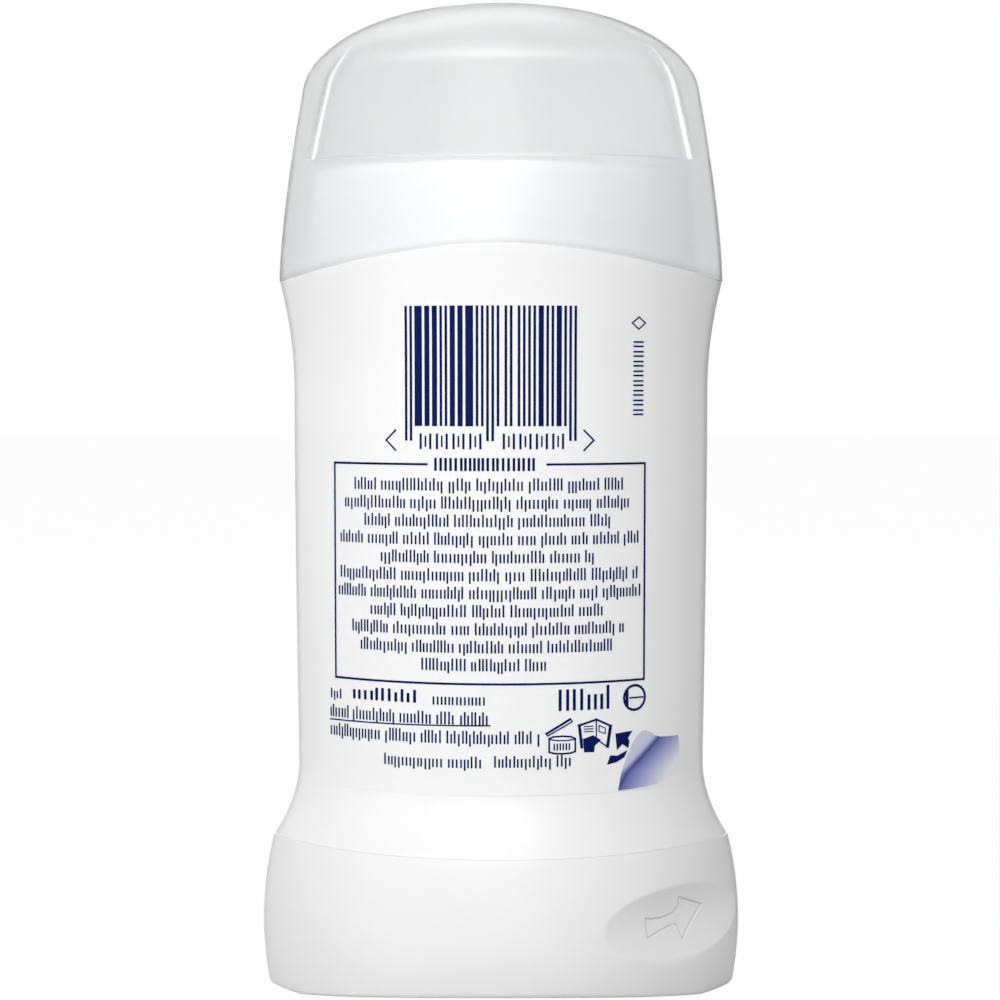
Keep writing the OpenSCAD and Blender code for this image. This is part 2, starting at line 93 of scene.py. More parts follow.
STICK_TOP = NECK_Z - STICK_DROP
CHAMBER_A = NECK_W / 2 - NECK_DRAFT - CHAMBER_WALL
CHAMBER_B = NECK_D / 2 - NECK_DRAFT - CHAMBER_WALL
STICK_A = CHAMBER_A - SLIDE_GAP
STICK_B = CHAMBER_B - SLIDE_GAP

# The camera of the photograph, in millimetres, degrees and pixels
CAMERA_BACK, CAMERA_UP, CAMERA_SIDE = 268.4, 73.2, -0.12
CAMERA_PITCH = 3.087
FOCAL_PIXELS, FRAME_PIXELS, SENSOR = 2225, 1000, 36

# The turns of a rounded edge
QUARTER = [math.radians(t) for t in (0, 30, 60, 90)]


# An oval of four arcs

def oval_arcs(a, b):
    """The end's radius and centre, and the face's radius, centre and angle in radians."""
    r = END_SHARE * b
    c = a - r
    big = (c * c + b * b - r * r) / (2 * (b - r))
    return r, c, big, big - b, math.atan2(c, big - b)


def oval_point(a, b, column):
    """A point of the oval. A column is (quarter, t): a face's share or an end's share of its arc."""
    side, t = column
    r, c, big, back, q = oval_arcs(a, b)
    if side in ("front", "back"):
        x = t * big * math.sin(q)
        y = math.sqrt(big * big - x * x) - back
        return x, -y if side == "front" else y
    turn = t * (math.pi / 2 - q)
    x, y = c + r * math.cos(turn), r * math.sin(turn)
    return (x, y) if side == "right" else (-x, y)


def along(a, b, s, out=0.0):
    """A point of the front face and its end, s round from the middle, out proud of the wall."""
    r, c, big, back, q = oval_arcs(a, b)
    way, side = abs(s), 1 if s >= 0 else -1
    if way <= big * q:
        t = way / big
        return side * (big + out) * math.sin(t), back - (big + out) * math.cos(t)
    t = q + (way - big * q) / r
    return side * (c + (r + out) * math.sin(t)), -(r + out) * math.cos(t)


def shares(steps, fine_edges):
    """Shares of a face from -1 to 1, denser between each pair of fine edges."""
    marks = {round(-1 + 2 * i / steps, 5) for i in range(steps + 1)}
    for low, high, count in fine_edges:
        for i in range(count + 1):
            t = round(low + (high - low) * i / count, 5)
            marks.update((t, -t))
    return sorted(marks)


def columns(steps=96, end_steps=18, fine_edges=()):
    """The columns of a ring, once round from the front's left edge."""
    face = shares(steps, fine_edges)
    end = [-1 + 2 * i / (end_steps + 1) for i in range(1, end_steps + 1)]
    return (
        [("front", t) for t in face]
        + [("right", t) for t in end]
        + [("back", t) for t in reversed(face)]
        + [("left", -t) for t in end]
    )


def ramp(t):
    """How a flare runs out, from 0 to 1."""
    return min(1, max(0, t)) ** CURL


def smooth(t):
    """An even S from 0 to 1."""
    t = min(1, max(0, t))
    return t * t * (3 - 2 * t)


# The shapes of the barrel, the base and the cap by height

def barrel_half(z, waist, body, foot, shoulder):
    """Half the barrel's width or depth at a height, from its sizes at four places."""
    rise = 1 - min(1, max(0, (TOP_FLARE_Z - z) / (TOP_FLARE_Z - WAIST_Z))) ** 2
    return (
        waist / 2
        + (body - waist) / 2 * rise
        + (foot - waist) / 2 * ramp(1 - (z - BARREL_Z) / FOOT_FLARE_H)
        + (shoulder - body) / 2 * ramp((z - TOP_FLARE_Z) / TOP_FLARE_H)
    )


def barrel_ab(z):
    """Half the barrel's width and half its depth at a height."""
    return (
        barrel_half(z, WAIST_W, BODY_W, SEAM_W, SHOULDER_W),
        barrel_half(z, WAIST_D, BODY_D, SEAM_D, SHOULDER_D),
    )


def barrel_rise(z):
    """How far the middle of a ring at a height is lifted."""
    return SHOULDER_ARCH * ramp((z - TOP_FLARE_Z) / TOP_FLARE_H)


def arch(x, span, power):
    """An arch's share of its height, 1 in the middle and 0 from span on."""
    return 1 - min(1, abs(x) / span) ** power


def base_ab(z):
    """Half the base's width and half its depth at a height."""
    swell = BASE_BULGE * (1 - ((2 * z - BASE_H) / BASE_H) ** 2) + BASE_SPREAD * (1 - z / BASE_H)
    return BASE_W / 2 + swell, BASE_D / 2 + swell


def quarter_length(a, b):
    """The way round from the middle of a face to the tip."""
    r, _, big, _, q = oval_arcs(a, b)
    return big * q + r * (math.pi / 2 - q)


def cap_half(z, size, draft, dome_h, power, wall):
    """Half the cap's width or depth at a height, on its outside or a wall further in."""
    top, z0 = TOTAL_H - wall, TOTAL_H - dome_h
    shut = 1 if z <= z0 else (1 - min(1, (z - z0) / (top - z0)) ** 2) ** (1 / power)
    lean = draft * ((z - SHOULDER_Z) / (TOTAL_H - SHOULDER_Z)) ** DRAFT_POWER
    return (size / 2 - wall - lean) * shut


def cap_ab(z, wall):
    """Half the cap's width and half its depth at a height."""
    return (
        cap_half(z, CAP_W, CAP_DRAFT_W, DOME_END_H, END_DOME_POWER, wall),
        cap_half(z, CAP_D, CAP_DRAFT_D, DOME_FACE_H, FACE_DOME_POWER, wall),
    )


DISH_ALONG = quarter_length(*base_ab(DISH_Z)) - DISH_BACK


# Meshes

def ring(cols, a, b, z, rise=0.0, span=1.0, power=SHOULDER_POWER, dent=None):
    """A ring of points; rise lifts its middle, and dent(share) sinks its faces."""
    points = []
    for col in cols:
        x, y = oval_point(a, b, col)
        if dent and col[0] in ("front", "back"):
            y -= math.copysign(dent(abs(col[1])), y)
        points.append((x, y, z + rise * arch(x, span, power)))
    return points


def circle(cols, r, z):
    """A ring on a circle, each point in the direction of its column."""
    points = []
    for col in cols:
        x, y = oval_point(WAIST_W / 2, WAIST_D / 2, col)
        far = math.hypot(x, y)
        points.append((r * x / far, r * y / far, z))
    return points


def loft(rings, first=None, last=None, joined=False):
    """Vertices and faces through rings of equal count, closed by poles or back on itself."""
    n = len(rings[0])
    verts = [p for points in rings for p in points]
    faces = []
    pairs = [(i, i + 1) for i in range(len(rings) - 1)]
    if joined:
        pairs.append((len(rings) - 1, 0))
    for low, high in pairs:
        for k in range(n):
            j = (k + 1) % n
            faces.append((low * n + k, low * n + j, high * n + j, high * n + k))
    for pole, at, turn in ((first, 0, True), (last, len(rings) - 1, False)):
        if pole:
            verts.append(pole)
            for k in range(n):
                edge = (at * n + k, at * n + (k + 1) % n)
                faces.append((*(reversed(edge) if turn else edge), len(verts) - 1))
    return verts, faces


def make(name, parts, material, sharp=32):
    """One object of several (vertices, faces) parts, in millimetres, with its material."""
    verts, faces = [], []
    for part_verts, part_faces in parts:
        start = len(verts)
        verts += [Vector(p) * MM for p in part_verts]
        faces += [tuple(i + start for i in f) for f in part_faces]
    mesh = bpy.data.meshes.new(name)
    mesh.from_pydata(verts, [], faces)
    mesh.validate()
    mesh.shade_smooth()
    mesh.set_sharp_from_angle(angle=math.radians(sharp))
    piece = bpy.data.objects.new(name, mesh)
    bpy.context.scene.collection.objects.link(piece)
    mesh.materials.append(material)
    return piece


def fit_out(piece, body, slot, *nodes):
    """Fixes a piece to its body and hides the solids that it stands for; its slot is not used."""
    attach(piece, body)
    if nodes:
        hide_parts(*nodes)
    return piece


def box_part(low, high):
    """A box between two corners."""
    (x0, y0, z0), (x1, y1, z1) = low, high
    corners = [(x, y, z) for z in (z0, z1) for y in (y0, y1) for x in (x0, x1)]
    faces = [(0, 2, 3, 1), (4, 5, 7, 6), (0, 1, 5, 4), (2, 6, 7, 3), (0, 4, 6, 2), (1, 3, 7, 5)]
    return corners, faces


# Materials

def new_material(name, **sockets):
    """A material with values for its main shader's sockets."""
    material = bpy.data.materials.new(name)
    material.use_nodes = True
    shader = material.node_tree.nodes["Principled BSDF"]
    for socket, value in sockets.items():
        shader.inputs[socket.replace("_", " ")].default_value = value
    return material, material.node_tree, shader


def node(tree, kind, **sockets):
    """A shader node with values for its sockets."""
    made = tree.nodes.new("ShaderNode" + kind)
    for socket, value in sockets.items():
        made.inputs[socket.replace("_", " ")].default_value = value
    return made


def mottle(tree, shader, dark, light, scale):
    """Slow colour variation between two colours, in object space."""
    place, mix = node(tree, "TexCoord"), node(tree, "ValToRGB")
    noise = node(tree, "TexNoise", Scale=scale, Detail=3)
    low, high = mix.color_ramp.elements
    low.position, high.position = 0.3, 0.7
    low.color, high.color = (*dark, 1), (*light, 1)
    tree.links.new(place.outputs["Object"], noise.inputs["Vector"])
    tree.links.new(noise.outputs["Fac"], mix.inputs["Fac"])
    tree.links.new(mix.outputs["Color"], shader.inputs["Base Color"])
    return place


def grain(tree, shader, place, scale, strength, distance):
    """The fine unevenness of a moulded or waxy surface, as bump."""
    noise = node(tree, "TexNoise", Scale=scale, Detail=4)
    bump = node(tree, "Bump", Strength=strength, Distance=distance)
    tree.links.new(place.outputs["Object"], noise.inputs["Vector"])
    tree.links.new(noise.outputs["Fac"], bump.inputs["Height"])
    tree.links.new(bump.outputs["Normal"], shader.inputs["Normal"])


def multiply_base(tree, shader, colour):
    """Multiplies the shader's own colour by another one."""
    mix, base = node(tree, "Mix"), shader.inputs["Base Color"]
    mix.data_type, mix.blend_type = "RGBA", "MULTIPLY"
    mix.inputs["Factor"].default_value = 1
    tree.links.new(base.links[0].from_socket, mix.inputs["A"])
    tree.links.new(colour, mix.inputs["B"])
    tree.links.new(mix.outputs["Result"], base)


def moulded(name, dark, light, roughness, specular=0.4):
    material, tree, shader = new_material(name, Roughness=roughness, Specular_IOR_Level=specular)
    place = mottle(tree, shader, dark, light, 60)
    grain(tree, shader, place, 900, 0.12, 0.0001)
    return material


def shade_grooves(material):
    """Painted shade at the bottom of engraved lines: darkens the colour by the mesh's share of a groove."""
    tree = material.node_tree
    share, tint = node(tree, "Attribute"), node(tree, "ValToRGB")
    share.attribute_name = "groove"
    tint.color_ramp.elements[0].color = (1, 1, 1, 1)
    tint.color_ramp.elements[1].color = (0.6, 0.6, 0.6, 1)
    tree.links.new(share.outputs["Fac"], tint.inputs["Fac"])
    multiply_base(tree, tree.nodes["Principled BSDF"], tint.outputs["Color"])


def waxy(name):
    material, tree, shader = new_material(
        name, Roughness=0.55, Specular_IOR_Level=0.35, Subsurface_Weight=0.35, Subsurface_Scale=0.002
    )
    place = mottle(tree, shader, (0.86, 0.85, 0.81), (0.91, 0.9, 0.87), 140)
    grain(tree, shader, place, 420, 0.35, 0.0002)
    return material


# The frosted plastic's tint and clearness at a painted shade along an edge, on its plain walls and at a
# painted highlight along an edge
PAINTED_LIGHT_TINTS, PAINTED_LIGHT_CLEARNESS = (0.66, 1, 1.03), (0.5, 0.87, 0)


def frosted(name):
    """Milky clear plastic. A value on the mesh runs from 0, painted shade, by 0.5, plain, to 1, painted
    highlight; it darkens or lightens the colour and sets the clearness.
    """
    material, tree, shader = new_material(name, Roughness=0.28, Specular_IOR_Level=0.5, IOR=1.17)
    place = mottle(tree, shader, (0.94, 0.944, 0.948), (0.955, 0.959, 0.963), 50)
    grain(tree, shader, place, 1400, 0.1, 0.0001)
    painted_light, tint, clear = (node(tree, kind) for kind in ("Attribute", "ValToRGB", "ValToRGB"))
    painted_light.attribute_name = "painted_light"
    for ramp_node, stops in ((tint, PAINTED_LIGHT_TINTS), (clear, PAINTED_LIGHT_CLEARNESS)):
        elements = ramp_node.color_ramp.elements
        for element, value in zip((elements[0], elements.new(0.5), elements[-1]), stops):
            element.color = (value, value, value, 1)
        tree.links.new(painted_light.outputs["Fac"], ramp_node.inputs["Fac"])
    multiply_base(tree, shader, tint.outputs["Color"])
    tree.links.new(clear.outputs["Color"], shader.inputs["Transmission Weight"])
    return material


white_barrel = moulded("white_barrel", (0.9, 0.9, 0.905), (0.93, 0.93, 0.935), 0.34)
white_base = moulded("white_base", (0.89, 0.89, 0.895), (0.92, 0.92, 0.925), 0.38)
# Painted shade in the arrow's groove on the base
shade_grooves(white_base)
white_inner = moulded("white_inner", (0.82, 0.83, 0.84), (0.87, 0.88, 0.89), 0.5)
film = moulded("label_film", (0.905, 0.905, 0.91), (0.93, 0.93, 0.935), 0.28)
ink = moulded("print_ink", (0.0, 0.007, 0.085), (0.001, 0.01, 0.105), 0.6, 0.08)
clear_cap = frosted("clear_cap")
wax = waxy("stick_wax")


# Twist base

# The arrow's outline, in shares of its length from its tail
ARROW = [
    (0, 0.093), (0.12, 0.072), (0.25, 0.066), (0.37, 0.08), (0.47, 0.105), (0.53, 0.15),
    (0.555, 0.2), (0.53, 0.294), (1, 0.133), (0.617, -0.239), (0.58, -0.13), (0.555, -0.066),
    (0.5, -0.04), (0.25, -0.09), (0.03, -0.153),
]
# How far the arrow's floor is let in and over what width, the groove round it, and the mesh's step there
ARROW_SINK, ARROW_EDGE, GROOVE_DEPTH, GROOVE_HALF, ARROW_STEP = 0.06, 0.16, 0.1, 0.13, 0.075
# How round the recess is
RECESS_POWER = 1.08
# How much of the seam's gap the drawn base fills, and the rounding of its top edge
SEAM_FILL, SEAM_EDGE = 0.28, 0.04
# The steps of the wall's mesh round and up, plain and in the recess
WALL_STEP, RECESS_STEP, ROW_STEP, RECESS_ROW = 0.9, 0.3, 0.5, 0.2
# The bevel of the hub's edges and the fillet at its foot
HUB_BEVEL, HUB_FILLET = 0.3, 0.6


def outline_distance(points, x, y):
    """How far (x, y) lies inside a closed outline; negative outside."""
    nearest, inside = 1e9, False
    for i, (x0, y0) in enumerate(points):
        x1, y1 = points[i - 1]
        dx, dy = x1 - x0, y1 - y0
        t = min(1, max(0, ((x - x0) * dx + (y - y0) * dy) / (dx * dx + dy * dy)))
        nearest = min(nearest, math.hypot(x - x0 - t * dx, y - y0 - t * dy))
        if (y0 > y) != (y1 > y) and x < x0 + (y - y0) / (y1 - y0) * (x1 - x0):
            inside = not inside
    return nearest if inside else -nearest


def recess_depth(s, z):
    """How deep the thumb recess is at a place on the base's wall, and the share of its groove there."""
    u, v = s - DISH_ALONG, z - DISH_Z
    share = math.hypot(2 * u / DISH_LEN, 2 * v / DISH_H)
    depth, groove = DISH_DEPTH * (1 - min(1, share) ** 2) ** RECESS_POWER, 0.0
    if abs(u) < 0.56 * ARROW_LEN and abs(v) < 0.36 * ARROW_LEN:
        arrow = [(px * ARROW_LEN - ARROW_LEN / 2, py * ARROW_LEN) for px, py in ARROW]
        inside = outline_distance(arrow, u, v)
        groove = smooth(1 - abs(inside) / GROOVE_HALF)
        depth += ARROW_SINK * smooth(0.5 + inside / ARROW_EDGE) + GROOVE_DEPTH * groove
    return depth, groove


def spaced(low, high, step):
    """Even places from low up to, but without, high."""
    count = max(1, math.ceil((high - low) / step))
    return [low + (high - low) * i / count for i in range(count)]


def base_wall_part():
    """The base's closed shell: bore, hub, floor, inner wall, outer wall with recesses, underside.

    A fourth value of a point is its share of the arrow's groove, which sets the painted shade there.
    """
    a0, b0 = base_ab(BASE_H / 2)
    # Ways round a quarter of the wall, fine where the recess and its arrow are
    quarter = quarter_length(a0, b0)
    low, mark_low = DISH_ALONG - DISH_LEN / 2, DISH_ALONG - 0.53 * ARROW_LEN
    mark_high = DISH_ALONG + 0.53 * ARROW_LEN
    marked = spaced(0, low, WALL_STEP) + spaced(low, mark_low, RECESS_STEP)
    marked += spaced(mark_low, mark_high, ARROW_STEP) + spaced(mark_high, quarter, RECESS_STEP)
    marked = [w / quarter for w in marked] + [1.0]
    plain = [w / quarter for w in spaced(0, quarter, WALL_STEP)] + [1.0]

    # Quarters in order: front right, back right, back left, front left
    cols = (
        [(w, 1) for w in marked]
        + [(w, -1) for w in reversed(plain[:-1])]
        + [(w, 2) for w in marked[1:]]
        + [(w, -2) for w in reversed(plain[1:-1])]
    )

    def point(col, a, b, z, out=0.0):
        w, q = col
        x, y = along(a, b, w * quarter_length(a, b), out)
        return {1: (x, y, z), -1: (x, -y, z), 2: (-x, -y, z), -2: (-x, y, z)}[q]

    def wall_ring(z, grow=0.0, rise=0.0, dish=False):
        a, b = base_ab(z)
        a, b = a + grow, b + grow
        points = []
        for col in cols:
            x, y, _ = point(col, a, b, z)
            up, groove = z + rise * arch(x, FOOT_X, FOOT_POWER), 0.0
            if dish and col[1] in (1, 2):
                depth, groove = recess_depth(col[0] * quarter_length(a, b), up)
                x, y, _ = point(col, a, b, z, -depth)
            points.append((x, y, up, groove))
        return points

    def hub_ring(r, z):
        points = []
        for col in cols:
            x, y, _ = point(col, a0, b0, z)
            points.append((r * x / math.hypot(x, y), r * y / math.hypot(x, y), z))
        return points

    inner = BASE_WALL + BASE_EDGE
    hub_top = FLOOR_Z - SEAM_GAP
    rings = [hub_ring(JOURNAL_R, SPIGOT_Z), hub_ring(JOURNAL_R, hub_top - HUB_BEVEL)]
    rings += [hub_ring(JOURNAL_R + HUB_BEVEL, hub_top), hub_ring(HUB_R - HUB_BEVEL, hub_top)]
    rings += [hub_ring(HUB_R, hub_top - HUB_BEVEL)]
    floor_in = BASE_WALL + FOOT_ARCH
    rings += [hub_ring(HUB_R, floor_in + HUB_FILLET), hub_ring(HUB_R + HUB_FILLET, floor_in)]
    rings += [wall_ring(BASE_WALL, -inner, FOOT_ARCH)]
    top = BASE_H + SEAM_FILL
    rings += [wall_ring(z, -inner) for z in (BASE_H / 2, top - 0.2)]
    rings += [wall_ring(top, -inner + 0.2)]
    turns = [math.radians(18 * i) for i in range(6)]
    for turn in turns:
        down, back = SEAM_EDGE * (1 - math.cos(turn)), SEAM_EDGE * (1 - math.sin(turn))
        rings += [wall_ring(top - down, -back)]
    reach, mark = DISH_H / 2, 0.33 * ARROW_LEN
    rows = spaced(BASE_EDGE, DISH_Z - reach, ROW_STEP)[1:]
    rows += spaced(DISH_Z - reach, DISH_Z - mark, RECESS_ROW)
    rows += spaced(DISH_Z - mark, DISH_Z + mark, ARROW_STEP)
    rows += spaced(DISH_Z + mark, DISH_Z + reach, RECESS_ROW)
    rows += spaced(DISH_Z + reach, top - SEAM_EDGE, ROW_STEP)
    for z in reversed(rows):
        fade = FOOT_ARCH * max(0, 1 - 2 * z / BASE_H)
        rings += [wall_ring(z, 0, fade, True)]
    for turn in reversed(turns):
        down, back = BASE_EDGE * math.cos(turn), BASE_EDGE * (1 - math.sin(turn))
        rings += [wall_ring(BASE_EDGE - down, -back, FOOT_ARCH)]
    a, b = base_ab(0)
    for part in (0.94, 0.8, 0.6, 0.35, 0.12):
        points = []
        for col in cols:
            x, y, _ = point(col, a - BASE_EDGE, b - BASE_EDGE, 0)
            x, y = x * part, y * part
            points.append((x, y, FOOT_ARCH * arch(x, FOOT_X, FOOT_POWER)))
        rings += [points]
    return loft(rings, (0, 0, SPIGOT_Z), (0, 0, FOOT_ARCH))


def make_base():
    low, top = BASE_WALL + FOOT_ARCH / 2, BASE_H - RIB_DROP
    reach_x, reach_y = BASE_W / 2 - BASE_WALL, BASE_D / 2 - BASE_WALL
    rib_parts = []
    for side in (-1, 1):
        near, far = sorted((side * (HUB_R - 0.2), side * reach_x))
        rib_parts.append(box_part((near, -RIB_T / 2, low), (far, RIB_T / 2, top)))
        near, far = sorted((side * (HUB_R - 0.2), side * reach_y))
        rib_parts.append(box_part((-RIB_T / 2, near, low), (RIB_T / 2, far, top)))
    verts, faces = base_wall_part()
    piece = make("base_shell", [([v[:3] for v in verts], faces)], white_base, 40)
    # The groove's share at each point, which the base's material darkens as painted shade
    grooves = [v[3] if len(v) == 4 else 0.0 for v in verts]
    piece.data.attributes.new("groove", "FLOAT", "POINT").data.foreach_set("value", grooves)
    fit_out(piece, "base", "base_plastic", "twist_base")
    ribs = make("base_ribs", rib_parts, white_inner)
    fit_out(ribs, "base", "base_plastic")


# Barrel

def make_barrel():
    cols = columns(96, 22)

    def skin_ring(z, grow=0.0):
        a, b = barrel_ab(z)
        return ring(cols, a + grow, b + grow, z, barrel_rise(z), a)

    edge, bore = SEAM_EDGE, JOURNAL_R + RUN_FIT
    rings = [circle(cols, bore, DECK_Z), circle(cols, bore, FLOOR_Z)]
    for t in (1, 0.75, 0.5, 0.25, 0.06):
        a, b = barrel_ab(BARREL_Z + t * FLOOR_UP)
        rings.append(ring(cols, a - SKIN_WALL, b - SKIN_WALL, BARREL_Z + t * FLOOR_UP))
    a, b = barrel_ab(BARREL_Z)
    rings.append(ring(cols, a - SKIN_WALL + 0.1, b - SKIN_WALL + 0.1, BARREL_Z))
    for turn in QUARTER:
        rings.append(skin_ring(BARREL_Z + edge * (1 - math.cos(turn)), -edge * (1 - math.sin(turn))))
    low, high, steps = BARREL_Z + edge, SHOULDER_Z - SHOULDER_EDGE, 90
    for i in range(1, steps):
        rings.append(skin_ring(low + (high - low) * i / steps))
    for turn in QUARTER:
        down, back = SHOULDER_EDGE * (1 - math.sin(turn)), SHOULDER_EDGE * (1 - math.cos(turn))
        rings.append(skin_ring(SHOULDER_Z - down, -back))
    a, b = NECK_W / 2, NECK_D / 2
    for turn in QUARTER:
        out, up = NECK_FILLET * (1 - math.sin(turn)), NECK_FILLET * (1 - math.cos(turn))
        rings.append(ring(cols, a + out, b + out, SHOULDER_Z + up, SHOULDER_ARCH, SHOULDER_W / 2))
    for t in (0.12, 0.3, 0.5, 0.75, 0.95):
        draft = NECK_DRAFT * t
        rise = SHOULDER_ARCH * (1 - t)
        z = SHOULDER_Z + NECK_FILLET + (NECK_H - NECK_FILLET - NECK_LIP) * t
        rings.append(ring(cols, a - draft, b - draft, z, rise, SHOULDER_W / 2))
    lip_a, lip_b = a - NECK_DRAFT, b - NECK_DRAFT
    for turn in QUARTER:
        back, up = NECK_LIP * (1 - math.cos(turn)), NECK_LIP * math.sin(turn)
        rings.append(ring(cols, lip_a - back, lip_b - back, NECK_Z - NECK_LIP + up))
    for z, grow in ((NECK_Z, 0.3), (NECK_Z - 0.1, 0.1), (NECK_Z - 0.3, 0)):
        rings.append(ring(cols, CHAMBER_A + grow, CHAMBER_B + grow, z))
    for t in (0.25, 0.5, 0.75, 1):
        z = NECK_Z - 0.3 + (DECK_Z - NECK_Z + 0.3) * t
        rings.append(ring(cols, CHAMBER_A, CHAMBER_B, z))
    piece = make("barrel_shell", [loft(rings, joined=True)], white_barrel)
    fit_out(piece, "barrel", "barrel_plastic", "barrel")


# Cap

# How the grip panel's floor runs out at its top, how far its sides lean in, and the width of its edges
PANEL_FADE, PANEL_LEAN, PANEL_EDGE = 5, 0.045, 0.014
# The painted highlight line along the panel's sides, the painted shade outside it, and the painted highlight
# arc at its top
LINE_REACH, SHADE_REACH, ARC_DOWN, ARC_REACH, ARC_HALF, ARC_HIGHLIGHT = 0.03, 0.035, 1.9, 0.6, 0.8, 0.22
# How far the cap's lip reaches into the gap over the shoulder, and the painted shade in the wall over it
LIP_DROP, LIP_SHADE, LIP_REACH = 0.16, 0.3, 0.9


def make_cap():
    cols = columns(80, 22, [(0.8, 0.99, 48)])

    def dent_at(z, depth_share, edge):
        """How far the grip panel sinks each share of the face at height z."""
        t = (z - PANEL_Z) / (PANEL_TOP - PANEL_Z)
        if t <= 0 or t >= 1:
            return None
        depth = depth_share * PANEL_DEPTH * (1 - t ** PANEL_FADE)
        inner = PANEL_SHARE - PANEL_LEAN * t

        def dent(share):
            return depth * smooth((inner + edge - share) / edge)
        return dent

    def painted_light(z, col):
        """Painted shade (0), plain (0.5) or painted highlight (1) at a place of the cap's outside, for its
        frosted plastic: painted highlights along the grip panel's sides and at its top arc, painted shade
        outside its sides and in the wall over the rim.
        """
        t = (z - PANEL_Z) / (PANEL_TOP - PANEL_Z)
        if t <= 0.02 or t >= 1.02 or col[0] not in ("front", "back"):
            return 0.5 - LIP_SHADE * max(0, 1 - (z - RIM_Z) / LIP_REACH)
        share = abs(col[1])
        off = share - (PANEL_SHARE - PANEL_LEAN * t + PANEL_EDGE / 2)
        fade = 1 - t ** 8
        if off < 0:
            arc = math.exp(-((z - PANEL_TOP + ARC_DOWN) / ARC_REACH) ** 2)
            arc *= max(0, 1 - (share / ARC_HALF) ** 2)
            return 0.5 + max(0.5 * fade * smooth(2 + 2 * off / LINE_REACH), ARC_HIGHLIGHT * arc)
        return 0.5 - 0.5 * fade * (0.3 + 0.7 * t) * smooth(1 - off / SHADE_REACH)

    def cap_ring(z, wall, rise=0.0, depth_share=1.0):
        a, b = cap_ab(z, wall)
        dent = dent_at(z, depth_share, 3 * PANEL_EDGE if wall else PANEL_EDGE)
        return z, ring(cols, a, b, z, rise, CAP_W / 2, SHOULDER_POWER, dent)

    def side(wall):
        """The rings of one side of the shell, from the rim to just below the top."""
        rings = []
        for i in range(15):
            t = (i / 14) ** 1.5
            rise = SHOULDER_ARCH * (1 - t) ** 1.3 - LEDGE_FALL * t
            rings.append(cap_ring(RIM_Z + (PANEL_Z - 0.12 - RIM_Z) * t, wall, rise))
        for t, share in ((0.0, 0.0), (0.06, 0.1), (0.13, 0.35), (0.2, 0.65), (0.27, 0.9), (0.34, 1.0)):
            rings.append(cap_ring(PANEL_Z + 0.01 + t, wall, -LEDGE_FALL, share))
        for i in range(1, 51):
            t = i / 50
            z = PANEL_Z + 0.4 + (PANEL_TOP - PANEL_Z - 0.4) * t
            rings.append(cap_ring(z, wall, -LEDGE_FALL * (1 - t) ** 2))
        top = TOTAL_H - wall
        for i in range(1, 26):
            t = math.sin(math.pi / 2 * i / 26)
            rings.append(cap_ring(PANEL_TOP + (top - PANEL_TOP) * t, wall))
        return rings

    outer, inner = side(0), side(CAP_WALL)
    a, b = cap_ab(RIM_Z, 0)
    lip = [
        ring(cols, a - back, b - back, RIM_Z - LIP_DROP, SHOULDER_ARCH, CAP_W / 2) for back in (0.3, 0.06)
    ]
    rings = list(reversed(inner)) + [(RIM_Z, points) for points in lip] + outer
    shell = loft([points for z, points in rings], (0, 0, TOTAL_H - CAP_WALL), (0, 0, TOTAL_H))
    piece = make("cap_shell", [shell], clear_cap, 50)
    # Painted light per point: plain on the inside and the lip, painted highlights and painted shade on the
    # outside
    painted_lights = [0.5] * (len(cols) * (len(rings) - len(outer)))
    painted_lights += [painted_light(z, col) for z, points in outer for col in cols] + [0.5, 0.5]
    piece.data.attributes.new("painted_light", "FLOAT", "POINT").data.foreach_set("value", painted_lights)
    fit_out(piece, "cap", "cap_frosted", "cap")


# Stick, spindle and carrier

def make_stick():
    cols = columns(72, 16)
    dome_z = STICK_TOP - STICK_DOME
    core = SPINDLE_R + BORE_GAP
    bore_top = NECK_Z - SPINDLE_DROP + BORE_GAP
    low = CARRIER_Z + CARRIER_T + RIM_H
    rings = [circle(cols, core, bore_top), circle(cols, core, low)]
    rings += [ring(cols, STICK_A, STICK_B, z) for z in (low, low + 0.2, (low + dome_z) / 2, dome_z)]
    for i in range(1, 25):
        t = math.pi / 2 * i / 25
        a, b = STICK_A * math.cos(t) ** 0.7, STICK_B * math.cos(t)
        rings.append(ring(cols, a, b, dome_z + STICK_DOME * math.sin(t)))
    body = loft(rings, (0, 0, bore_top), (0, 0, STICK_TOP))
    piece = make("stick_fill", [body], wax, 60)
    fit_out(piece, "carrier", "stick_wax", "stick")


# The thread's depth, where it ends short of the shank's ends, and the width of its foot and its crest
THREAD_DEPTH, THREAD_BACK, THREAD_FOOT, THREAD_CREST = 0.55, 1.5, 1.8, 0.7


